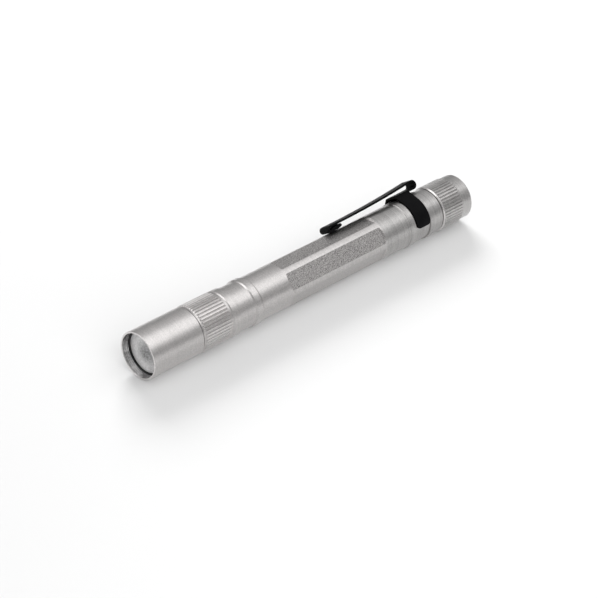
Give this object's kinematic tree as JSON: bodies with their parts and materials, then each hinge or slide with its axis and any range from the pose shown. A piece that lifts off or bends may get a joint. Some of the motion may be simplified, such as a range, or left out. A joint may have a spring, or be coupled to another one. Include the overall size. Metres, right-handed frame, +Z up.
{
  "type": "penlight",
  "caption": "Slim aluminium pocket penlight: screw-on fluted head with a domed lens, barrel with milled flats, folded black pocket clip and a push-button tail cap.",
  "frame": {"origin": "centre of the bounding box's bottom face, with the penlight lying on the lands of its fluted head and the clip up and to the back", "axes": "+X along the tube from the head to the tail button, +Y to the side that the clip leans to, +Z up"},
  "size_m": [0.1276, 0.015, 0.0173],
  "materials": {
    "aluminium_satin": "bead-blasted and clear anodised",
    "black_rubber": "moulded",
    "button_rubber": "moulded, matte",
    "brass": "machined",
    "white_board": "white solder mask on aluminium",
    "led_phosphor": "clear silicone over phosphor",
    "white_plastic": "moulded",
    "wire_red": "extruded insulation",
    "green_board": "solder mask on glass epoxy",
    "component_dark": "moulded",
    "cell_wrap": "plain shrink film over a metal can",
    "ring_black": "moulded, satin",
    "lens_glass": "polished",
    "reflector_polish": "mirror polished",
    "clip_black": "black oxide on spring steel",
    "switch_plastic": "moulded",
    "plunger_plastic": "moulded",
    "spring_steel": "nickel plated wire"
  },
  "bodies": {
    "tube": {"body_tube": "aluminium_satin", "front_oring": "black_rubber", "rear_oring": "black_rubber", "led_carrier": "brass", "led_board": "white_board", "led_emitter": "led_phosphor", "led_gasket": "white_plastic", "lead_wires": "wire_red", "driver_board": "green_board", "driver_parts": "component_dark", "front_contact": "brass", "battery_front": "cell_wrap", "battery_rear": "cell_wrap"},
    "head_optics": {"lens": "lens_glass", "lens_seal": "black_rubber"},
    "head": {"head_sleeve": "aluminium_satin", "lens_ring": "ring_black", "reflector": "reflector_polish"},
    "tail_contact": {"tail_spring": "spring_steel"},
    "tail": {"tail_cap": "aluminium_satin", "switch_ring": "brass", "switch_housing": "switch_plastic", "switch_board": "green_board", "button_seal": "black_rubber"},
    "button": {"tail_button": "button_rubber", "switch_plunger": "plunger_plastic"},
    "clip_ring": {"clip_band": "clip_black"},
    "clip_spring": {"clip_blade": "clip_black"}
  },
  "joints": [
    {"name": "head_advance", "type": "slide", "parent": "tube", "child": "head_optics", "axis": [-1, 0, 0], "range_m": [0, 0.00601]},
    {"name": "head_turn", "type": "hinge", "parent": "head_optics", "child": "head", "pos_m": [-0.0638, -0.00021, 0.00732], "axis": [-1, 0, 0], "range_deg": [0, 2880]},
    {"name": "tail_advance", "type": "slide", "parent": "tube", "child": "tail_contact", "axis": [1, 0, 0], "range_m": [0, 0.00376]},
    {"name": "tail_turn", "type": "hinge", "parent": "tail_contact", "child": "tail", "pos_m": [-0.0638, -0.00021, 0.00732], "axis": [1, 0, 0], "range_deg": [0, 1800]},
    {"name": "button_press", "type": "slide", "parent": "tail", "child": "button", "axis": [-1, 0, 0], "range_m": [0, 0.0013], "stiffness_N_per_m": 1500, "springref_m": -0.0007},
    {"name": "clip_turn", "type": "hinge", "parent": "tube", "child": "clip_ring", "pos_m": [-0.0638, -0.00021, 0.00732], "axis": [1, 0, 0], "continuous": true},
    {"name": "clip_flex", "type": "hinge", "parent": "clip_ring", "child": "clip_spring", "pos_m": [0.0468, 0.00485, 0.01482], "axis": [0, 0.829, -0.5592], "range_deg": [0, 6], "stiffness_Nm_per_rad": 1.4, "springref_deg": -1.15}
  ],
  "couplings": [
    {"joint": "head_advance", "follows": "head_turn", "m_per_rad": 0.00011937},
    {"joint": "tail_advance", "follows": "tail_turn", "m_per_rad": 0.00011937}
  ]
}
